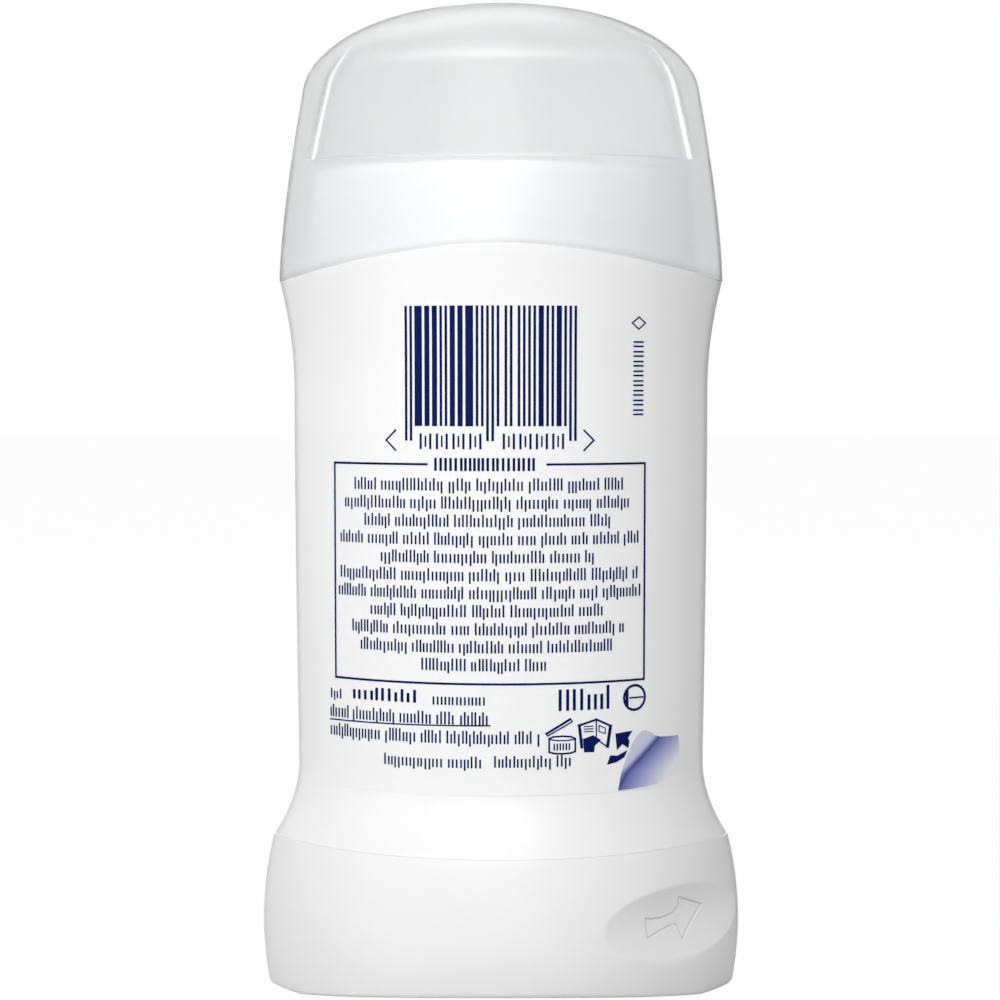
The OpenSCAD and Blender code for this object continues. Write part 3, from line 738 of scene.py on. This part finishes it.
def make_spindle():
    """The spindle with its left-hand thread, turned in rings and swept as one ridge."""
    steps, root = 40, SPINDLE_R - THREAD_DEPTH
    low, top = FLANGE_Z + FLANGE_T, NECK_Z - SPINDLE_DROP
    profile = [
        (JOURNAL_R - 0.3, SPIGOT_Z), (JOURNAL_R, SPIGOT_Z + 0.3), (JOURNAL_R, FLANGE_Z),
        (FLANGE_R, FLANGE_Z), (FLANGE_R, low - 0.3), (FLANGE_R - 0.3, low), (root, low),
        (root, top - 0.6), (root - 0.6, top),
    ]
    turns = [2 * math.pi * k / steps for k in range(steps)]
    rings = [[(r * math.cos(t), r * math.sin(t), z) for t in turns] for r, z in profile]
    shaft = loft(rings, (0, 0, SPIGOT_Z), (0, 0, top))
    start, end = low + THREAD_BACK, top - THREAD_BACK
    count = int((end - start) / SCREW_LEAD * steps)
    sections = []
    for i in range(count + 1):
        turn = -2 * math.pi * i / steps
        z = start + SCREW_LEAD * i / steps
        grow = min(1, i / 12, (count - i) / 12)
        crest = root + 0.02 + (SPINDLE_R - root - 0.02) * grow
        foot, half = THREAD_FOOT / 2, THREAD_CREST / 2
        cut = [(root - 0.2, -foot), (crest, -half), (crest, half), (root - 0.2, foot)]
        sections.append([(r * math.cos(turn), r * math.sin(turn), z + dz) for r, dz in cut])
    verts = [p for cut in sections for p in cut]
    faces = []
    for i in range(count):
        for k in range(4):
            j = (k + 1) % 4
            faces.append((4 * i + k, 4 * i + 4 + k, 4 * i + 4 + j, 4 * i + j))
    faces += [(0, 1, 2, 3), tuple(4 * count + k for k in (3, 2, 1, 0))]
    piece = make("spindle_thread", [shaft, (verts, faces)], white_inner)
    fit_out(piece, "base", "mechanism_plastic", "spindle")


# Label and print

def label_point(s, z, out):
    """A point of the label's face: s round from the middle, z up, out proud of the barrel."""
    level = z
    for _ in range(12):
        a, b = barrel_ab(level)
        x, y = along(a, b, s, out)
        level = z - barrel_rise(level) * arch(x, a, SHOULDER_POWER)
    return x, y, z


# How far the print stands out from the barrel, how thick it is, and the step of its mesh
INK_OUT, INK_T, INK_STEP = FILM_GAP + LABEL_T + 0.015, 0.02, 1.2


def split(outline, step):
    """The same closed outline with no stretch longer than a step."""
    points = []
    for i, p in enumerate(outline):
        p, q = Vector(p), Vector(outline[(i + 1) % len(outline)])
        count = max(1, math.ceil((q - p).length / step))
        points += [tuple(p.lerp(q, k / count)) for k in range(count)]
    return points


def patch(outline, out=INK_OUT, step=INK_STEP):
    """A flat shape of the print, bent onto the label, as a closed slab."""
    outline = split(outline, step)
    points = [Vector(p) for p in outline]
    count = len(points)
    edges = [(i, (i + 1) % count) for i in range(count)]
    low_s, high_s = min(p.x for p in points), max(p.x for p in points)
    low_z, high_z = min(p.y for p in points), max(p.y for p in points)
    s = low_s + step / 2
    while s < high_s:
        z = low_z + step / 2
        while z < high_z:
            if outline_distance(outline, s, z) > step / 3:
                points.append(Vector((s, z)))
            z += step
        s += step
    flat, _, faces, *_ = delaunay_2d_cdt(points, edges, [list(range(count))], 1, 1e-6)
    return slab([tuple(p) for p in flat], [tuple(f) for f in faces], out)


def slab(flat, faces, out=INK_OUT):
    """A closed slab over flat (s, z) points and faces."""
    n = len(flat)
    verts = [label_point(s, z, out + INK_T) for s, z in flat]
    verts += [label_point(s, z, out) for s, z in flat]
    sides = dict.fromkeys((f[i], f[(i + 1) % len(f)]) for f in faces for i in range(len(f)))
    rim = [e for e in sides if (e[1], e[0]) not in sides]
    made = list(faces) + [tuple(i + n for i in reversed(f)) for f in faces]
    made += [(j, i, i + n, j + n) for i, j in rim]
    return verts, made


def bar(s0, s1, z0, z1, step=1.6):
    """A rectangle of print between two places round and two heights."""
    across = max(1, math.ceil((s1 - s0) / step))
    up = max(1, math.ceil((z1 - z0) / step))
    flat = [
        (s0 + (s1 - s0) * i / across, z0 + (z1 - z0) * j / up)
        for j in range(up + 1) for i in range(across + 1)
    ]
    w = across + 1
    faces = [
        (j * w + i, j * w + i + 1, (j + 1) * w + i + 1, (j + 1) * w + i)
        for j in range(up) for i in range(across)
    ]
    return slab(flat, faces)


def line(points, width, closed=False):
    """A drawn line of even width through the points."""
    parts = []
    ends = len(points) if closed else len(points) - 1
    for i in range(ends):
        p, q = Vector(points[i]), Vector(points[(i + 1) % len(points)])
        way = (q - p).normalized() * width / 2
        side = Vector((-way.y, way.x))
        corners = (p - way - side, q + way - side, q + way + side, p - way + side)
        parts.append(patch([tuple(v) for v in corners]))
    return parts


def strokes(s0, s1, z, height, seed, width=0.21, pitch=0.45, even=False):
    """A line of print between s0 and s1 as upright strokes, in groups of word length."""
    pick = random.Random(seed)
    parts, s, left = [], s0, pick.randint(5, 18)
    while s < s1 - width:
        rise, fall = (0, 0) if even else pick.choice(STROKE_ENDS)
        parts.append(bar(s, s + width, z - height * (0.5 + fall), z + height * (0.5 + rise)))
        left -= 1
        s += pitch * pick.uniform(0.85, 1.15)
        if left == 0 and not even:
            s += pitch
            left = pick.randint(5, 18)
    return parts


# The label's layout in millimetres: the frame, the lines in it, and what stands round them
FRAME_LEFT, FRAME_RIGHT, FRAME_LOW, FRAME_TOP = -21, 17.65, 38.1, 63.5
FRAME_LINE = 0.25
HEADING_HALF, HEADING_GAP, TEXT_MID = 6.1, 0.9, -1.65
FIRST_LINE, LINE_PITCH, TEXT_H = 61, 2.085, 1.05
# How far single strokes reach above or below their line, as shares of its height
STROKE_ENDS = [(0, 0), (0, 0), (0, 0), (0.36, 0), (0.36, 0), (0, 0.3)]
# Half the width of each line in the frame
LINE_HALVES = [16.4, 17.8, 15, 18.5, 12.8, 18.5, 18.8, 14.2, 16.8, 15.6, 7.7]
# Lines of small print under the frame: left, right, height, height of its strokes and seed of each
LOOSE_LINES = [
    (-21.8, -19.9, 36, 0.85, 21), (-21.9, -1.3, 33.9, 1.1, 22), (-21.9, 4.5, 31.7, 1.1, 23),
    (-14.1, -2.2, 28.8, 1, 24), (-0.8, 8.4, 28.9, 1, 27),
]
# The bars, the longer guards among them, and the digits under them
CODE_LEFT, CODE_RIGHT, CODE_LOW, CODE_TOP, GUARD_LOW = -11.3, 8.8, 67.9, 81.7, 66.2
CODE_UNITS, GUARDS = 67, (0, 2, 32, 34, 64, 66)
DIGIT_LOW, DIGIT_TOP, DIGIT_STEP = 65.25, 67.05, 0.25


def print_code():
    """A row of bars as on any packed good, which encodes nothing."""
    pick = random.Random(5)
    unit = (CODE_RIGHT - CODE_LEFT) / CODE_UNITS
    parts = [bar(CODE_LEFT + g * unit, CODE_LEFT + (g + 1) * unit, GUARD_LOW, CODE_TOP) for g in GUARDS]
    for first, last in ((4, 31), (36, 63)):
        at = first
        while at < last:
            width = min(pick.choice((1, 1, 2, 2, 3)), last - at)
            parts.append(bar(CODE_LEFT + at * unit, CODE_LEFT + (at + width) * unit, CODE_LOW, CODE_TOP))
            at += width + pick.choice((1, 1, 1, 2))
    # Two groups of digits under the bars, as strokes
    for left, right in ((-9.7, -1.9), (0, 7.6)):
        for i in range(4):
            s = left + (right - left) * (i + 0.1) / 4
            parts += [bar(s, s + 0.26, DIGIT_LOW, DIGIT_TOP)]
            parts += [bar(s + 0.6, s + 0.8, DIGIT_LOW + DIGIT_STEP, DIGIT_TOP - DIGIT_STEP)]
            parts += [bar(s + 1.15, s + 1.41, DIGIT_LOW, DIGIT_TOP)]
    for tip, side in ((-13.7, 1), (10.9, -1)):
        parts += line([(tip + side * 1.2, 67.4), (tip, 66.25), (tip + side * 1.2, 65.1)], 0.2)
    return parts


def print_text():
    """The frame with its heading and lines, the lines under it and the column beside the code."""
    frame_line = [
        (TEXT_MID - HEADING_HALF - HEADING_GAP, FRAME_TOP), (FRAME_LEFT, FRAME_TOP),
        (FRAME_LEFT, FRAME_LOW), (FRAME_RIGHT, FRAME_LOW), (FRAME_RIGHT, FRAME_TOP),
        (TEXT_MID + HEADING_HALF + HEADING_GAP, FRAME_TOP),
    ]
    parts = line(frame_line, FRAME_LINE)
    parts += strokes(TEXT_MID - HEADING_HALF, TEXT_MID + HEADING_HALF, FRAME_TOP, 1.5, 30, 0.3, 0.56, True)
    for i, half in enumerate(LINE_HALVES):
        parts += strokes(TEXT_MID - half, TEXT_MID + half, FIRST_LINE - i * LINE_PITCH, TEXT_H, i + 1)
    for row in LOOSE_LINES:
        parts += strokes(*row)
    # A bold field, a number, and a rule under the second line
    parts += strokes(-18.4, -8.9, 36.3, 1.1, 25, 0.36, 0.8)
    parts += strokes(-8, -1.7, 36.1, 0.95, 26, even=True)
    parts += line([(-21.9, 33), (-1.3, 33.3)], 0.16)
    for i in range(8):
        z = 69.1 + i * 1.13
        parts += [bar(16, 17.4, z, z + 0.2), bar(16, 17.4, z + 0.5, z + 0.7)]
    parts += line([(16.7, 80.5), (17.6, 79.8), (16.7, 79.1), (15.8, 79.8)], 0.16, True)
    return parts


def ring_line(s, z, radius, width, steps=20):
    """A drawn circle."""
    at = [
        (s + radius * math.cos(2 * math.pi * i / steps), z + radius * math.sin(2 * math.pi * i / steps))
        for i in range(steps)
    ]
    return line(at, width, True)


# The bold field's strokes as their places round and their tops
BOLD_STROKES = [
    (6.7, 37.4), (7.6, 37.4), (8.4, 37.4), (9.3, 37.4), (10.2, 36.7), (11, 36.7), (11.8, 36.7), (12.6, 37.7),
]
BOLD_WIDTH, BOLD_LOW = 0.36, 34.9


def bold_field():
    """The bold strokes and the ring with a bar beside them."""
    parts = [bar(s, s + BOLD_WIDTH, BOLD_LOW, top) for s, top in BOLD_STROKES]
    parts += ring_line(16.35, 36, 1.45, 0.28)
    parts += [patch([(15.1, 35.2), (15.5, 35), (15.5, 37), (15.1, 36.8)]), bar(15.6, 17.6, 35.9, 36.08)]
    return parts


def open_jar():
    """A jar with its lid lifted off."""
    parts = line([(5.2, 32.31), (8.1, 33.97), (8.34, 33.61), (5.41, 32.02)], 0.16, True)
    parts += line([(5.35, 32.3), (8.05, 33.85)], 0.22)
    parts += line([(5.59, 31.72), (6.1, 31.9), (7.14, 31.95), (8.2, 31.85), (8.71, 31.61), (8.71, 30.1),
                   (8.1, 29.93), (7.14, 29.88), (6.2, 29.95), (5.59, 30.14)], 0.2, True)
    parts += line([(5.6, 31.6), (6.6, 31.45), (7.7, 31.42), (8.7, 31.55)], 0.14)
    parts += [bar(6.1 + 0.36 * i, 6.28 + 0.36 * i, 30.3, 31.1) for i in range(6)]
    return parts


def leaflet():
    """An open leaflet with a dark hand under it."""
    parts = line([(9.12, 33.1), (11.31, 33.72), (13.2, 32.85)], 0.24)
    parts += line([(9.2, 33.1), (9.5, 30.6)], 0.36) + line([(13.12, 32.8), (12.75, 30.5)], 0.4)
    parts += line([(11.31, 33.6), (11.31, 31.4)], 0.16) + line([(11.5, 31.3), (12.66, 30.45)], 0.16)
    parts += [bar(9.75, 10.95, 32.3 + 0.3 * i, 32.42 + 0.3 * i) for i in range(3)]
    parts += line([(11.65, 33), (12.45, 32.65), (12.45, 32), (11.65, 32.3)], 0.12, True)
    parts += [patch([(9.63, 31.5), (10.9, 31.9), (11.9, 31.3), (11.1, 30.6), (11.05, 29.9), (9.8, 29.95)])]
    return parts


def curl_arrow():
    """A bent arrow beside the page curl, in two pieces."""
    head = [
        (13.77, 31.91), (16.07, 32.1), (15.45, 31.26), (15.66, 30.89), (15.5, 30.07), (14.71, 30.6),
        (13.97, 29.95),
    ]
    tail = [(12.67, 28.3), (13.12, 29.39), (14.04, 29.28), (15.39, 29.84), (14.98, 29.04), (13.91, 28.53)]
    return [patch(head), patch(tail)]


def print_marks():
    """The bold field and the small pictures under the frame."""
    return bold_field() + open_jar() + leaflet() + curl_arrow()


def make_label():
    cols = [("front", t) for t in shares(96, ()) if abs(t) <= PANEL_SHARE]
    low, count = BARREL_Z + LABEL_UP, 60
    flat = []
    for layer in (FILM_GAP + LABEL_T, FILM_GAP):
        for i in range(count + 1):
            z = low + LABEL_H * i / count
            a, b = barrel_ab(z)
            flat += ring(cols, a + layer, b + layer, z, barrel_rise(z), a)
    w, n = len(cols), len(cols) * (count + 1)
    faces = []
    for j in range(count):
        for i in range(w - 1):
            at = j * w + i
            faces.append((at, at + 1, at + w + 1, at + w))
            faces.append((n + at, n + at + w, n + at + w + 1, n + at + 1))
    for i in range(w - 1):
        top = count * w + i
        faces += [(i, n + i, n + i + 1, i + 1), (top, top + 1, n + top + 1, n + top)]
    for j in range(count):
        left, right = j * w, j * w + w - 1
        faces += [(left, left + w, n + left + w, n + left), (right, n + right, n + right + w, right + w)]
    piece = make("label_sheet", [(flat, faces)], film, 40)
    fit_out(piece, "barrel", "label_film", "back_label")
    prints = ("print_code", print_code()), ("print_text", print_text()), ("print_marks", print_marks())
    for name, parts in prints:
        fit_out(make(name, parts, ink), "barrel", "label_film")


# Page curl printed at the label's lower right corner

CURL_EDGE = [
    (14.15, 25.18), (15.81, 25.24), (17.94, 25.31), (19.89, 25.46), (21.65, 25.97), (22.82, 26.97),
    (23.28, 28.24), (23.25, 29.69), (23.04, 30.94), (21.62, 30.94), (20.18, 31.03), (19.41, 31.22),
    (18.66, 31.7), (17.92, 32.01), (17.34, 31.94), (16.77, 31.51), (16.08, 30.62), (15.26, 29.02),
    (14.52, 27.07),
]
# The crease from the curl's tip to its top, and how wide the tone runs out on its left and right
CREASE = [(14.18, 25.18), (15.4, 27.12), (20.18, 31.03), (21.4, 32.03)]
CREASE_AT, LEFT_REACH, RIGHT_REACH = 0.4, 1.8, 4.8
# How much of a way round lies across the leaning crease
CREASE_ACROSS = 0.75
CURL_STEP = 0.25
# The curl's colours between its left edge (0), the crease and its right edge (1)
CURL_LEFT, CURL_RIGHT = (0.62, 0.63, 0.78), (0.86, 0.87, 0.93)
CURL_COLOURS = [
    (0.2, (0.54, 0.55, 0.75)), (0.33, (0.12, 0.15, 0.42)), (0.4, (0.03, 0.05, 0.21)),
    (0.42, (0.11, 0.14, 0.38)), (0.5, (0.19, 0.22, 0.48)), (0.65, (0.36, 0.38, 0.63)),
    (0.85, (0.64, 0.65, 0.8)),
]


def curl_tone(s, z):
    """Where a place of the curl lies between its left edge (0), the crease and its right edge (1)."""
    for (s0, z0), (s1, z1) in zip(CREASE, CREASE[1:]):
        if z <= z1:
            break
    off = (s - s0 - (s1 - s0) * (z - z0) / (z1 - z0)) * CREASE_ACROSS
    if off < 0:
        return CREASE_AT * max(0, 1 + off / LEFT_REACH)
    return CREASE_AT + (1 - CREASE_AT) * min(1, off / RIGHT_REACH)


def make_curl():
    verts, faces = patch(CURL_EDGE, INK_OUT, CURL_STEP)
    material, tree, shader = new_material("page_curl", Roughness=0.3, Specular_IOR_Level=0.4)
    fade, shade = node(tree, "Attribute"), node(tree, "ValToRGB")
    fade.attribute_name = "fade"
    stops = shade.color_ramp.elements
    stops[0].color, stops[1].color = (*CURL_LEFT, 1), (*CURL_RIGHT, 1)
    for at, colour in CURL_COLOURS:
        stops.new(at).color = (*colour, 1)
    tree.links.new(fade.outputs["Fac"], shade.inputs["Fac"])
    tree.links.new(shade.outputs["Color"], shader.inputs["Base Color"])
    piece = make("page_curl", [(verts, faces)], material)
    values = piece.data.attributes.new("fade", "FLOAT", "POINT")
    for i, (x, _, z) in enumerate(verts):
        big = oval_arcs(*barrel_ab(z))[2]
        values.data[i].value = curl_tone(big * math.asin(min(1, x / big)), z)
    fit_out(piece, "barrel", "label_film")


# Stage, light and camera

# How much of the white backdrop shows in gloss and, in front of the stick and behind it, through the cap
GLOSSY_SHARE, CLEAR_FRONT, CLEAR_BACK = 0.4, 0.42, 0.78
# How much of the floor is white to the camera; the rest takes the stick's shadow
FLOOR_SHARE = 0.975
# The floor's reach to the sides, to the front and to the back, in millimetres
FLOOR_SIDE, FLOOR_FRONT, FLOOR_BACK = 1500, -900, 2600


def seen_rays(tree, place, reach):
    """1 on camera rays, a share of it on glossy and transmission rays, else 0."""
    rays, where, split_xyz = (node(tree, kind) for kind in ("LightPath", "TexCoord", "SeparateXYZ"))
    clear = node(tree, "MapRange", From_Min=-reach, From_Max=reach, To_Min=CLEAR_FRONT, To_Max=CLEAR_BACK)
    tree.links.new(where.outputs[place], split_xyz.inputs[0])
    tree.links.new(split_xyz.outputs["Y"], clear.inputs["Value"])
    seen = rays.outputs["Is Camera Ray"]
    for socket in ("Is Glossy Ray", "Is Transmission Ray"):
        part, most = node(tree, "Math"), node(tree, "Math")
        part.operation, most.operation = "MULTIPLY", "MAXIMUM"
        part.inputs[1].default_value = GLOSSY_SHARE
        if socket == "Is Transmission Ray":
            tree.links.new(clear.outputs[0], part.inputs[1])
        tree.links.new(rays.outputs[socket], part.inputs[0])
        tree.links.new(part.outputs[0], most.inputs[0])
        tree.links.new(seen, most.inputs[1])
        seen = most.outputs[0]
    return seen


def make_stage():
    material = bpy.data.materials.new("floor_white")
    material.use_nodes = True
    tree = material.node_tree
    tree.nodes.clear()
    out, mix, share = (node(tree, kind) for kind in ("OutputMaterial", "MixShader", "Math"))
    diffuse = node(tree, "BsdfDiffuse", Color=(0.6, 0.6, 0.6, 1))
    glow = node(tree, "Emission", Color=(1, 1, 1, 1))
    share.operation = "MULTIPLY"
    share.inputs[1].default_value = FLOOR_SHARE
    tree.links.new(seen_rays(tree, "Object", 0.1), share.inputs[0])
    tree.links.new(share.outputs[0], mix.inputs[0])
    tree.links.new(diffuse.outputs[0], mix.inputs[1])
    tree.links.new(glow.outputs[0], mix.inputs[2])
    tree.links.new(mix.outputs[0], out.inputs["Surface"])
    corners = [
        (-FLOOR_SIDE, FLOOR_FRONT, 0), (FLOOR_SIDE, FLOOR_FRONT, 0),
        (FLOOR_SIDE, FLOOR_BACK, 0), (-FLOOR_SIDE, FLOOR_BACK, 0),
    ]
    make("floor", [(corners, [(0, 1, 2, 3)])], material)


def make_world():
    world = bpy.data.worlds.new("studio")
    bpy.context.scene.world = world
    world.use_nodes = True
    tree = world.node_tree
    tree.nodes.clear()
    out, mix = node(tree, "OutputWorld"), node(tree, "MixShader")
    soft = node(tree, "Background", Color=(0.95, 0.97, 1, 1), Strength=0.07)
    white = node(tree, "Background", Color=(1, 1, 1, 1))
    tree.links.new(seen_rays(tree, "Generated", 0.3), mix.inputs[0])
    tree.links.new(soft.outputs[0], mix.inputs[1])
    tree.links.new(white.outputs[0], mix.inputs[2])
    tree.links.new(mix.outputs[0], out.inputs["Surface"])


# Each soft box with its place and side in millimetres and its power in watts. A lamp behind would burn
# through the clear cap, so back_soft leaves it out.
LAMPS = [
    ("key_left", (-500, -400, 260), 340, 0.4),
    ("front_soft", (-80, -530, 420), 400, 3.75),
    ("top_soft", (-60, 220, 640), 420, 1.1),
    ("back_soft", (60, 560, 320), 420, 1.8),
]


def make_light(name, place, size, power):
    """A square soft box that faces the middle of the stick."""
    data = bpy.data.lights.new(name, "AREA")
    data.shape = "SQUARE"
    data.size = size * MM
    data.energy = power
    light = bpy.data.objects.new(name, data)
    light.location = Vector(place) * MM
    aim = Vector((0, 0, TOTAL_H / 2)) - Vector(place)
    light.rotation_euler = aim.to_track_quat("-Z", "Y").to_euler()
    bpy.context.scene.collection.objects.link(light)
    return light


def keep_from(light, piece):
    """Lets a lamp light everything but one piece."""
    unlit = bpy.data.collections.new(light.name + "_unlit")
    unlit.objects.link(piece)
    unlit.collection_objects[0].light_linking.link_state = "EXCLUDE"
    light.light_linking.receiver_collection = unlit


def make_camera():
    data = bpy.data.cameras.new("camera")
    data.sensor_width = SENSOR
    data.lens = SENSOR * FOCAL_PIXELS / FRAME_PIXELS
    data.clip_start, data.clip_end = 0.01, 20
    camera = bpy.data.objects.new("camera", data)
    camera.location = Vector((CAMERA_SIDE, -CAMERA_BACK, CAMERA_UP)) * MM
    camera.rotation_euler = (math.radians(90 - CAMERA_PITCH), 0, 0)
    bpy.context.scene.collection.objects.link(camera)
    bpy.context.scene.camera = camera


make_camera()
make_base()
make_barrel()
make_cap()
make_stick()
make_spindle()
make_label()
make_curl()
# The carrier keeps its own mesh, in the mechanism's plastic
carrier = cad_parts["carrier"]
carrier.data.materials.clear()
carrier.data.materials.append(white_inner)
make_stage()
make_world()
lamps = {name: make_light(name, *rest) for name, *rest in LAMPS}
keep_from(lamps["back_soft"], bpy.data.objects["cap_shell"])
bpy.context.scene.view_settings.view_transform = "Standard"
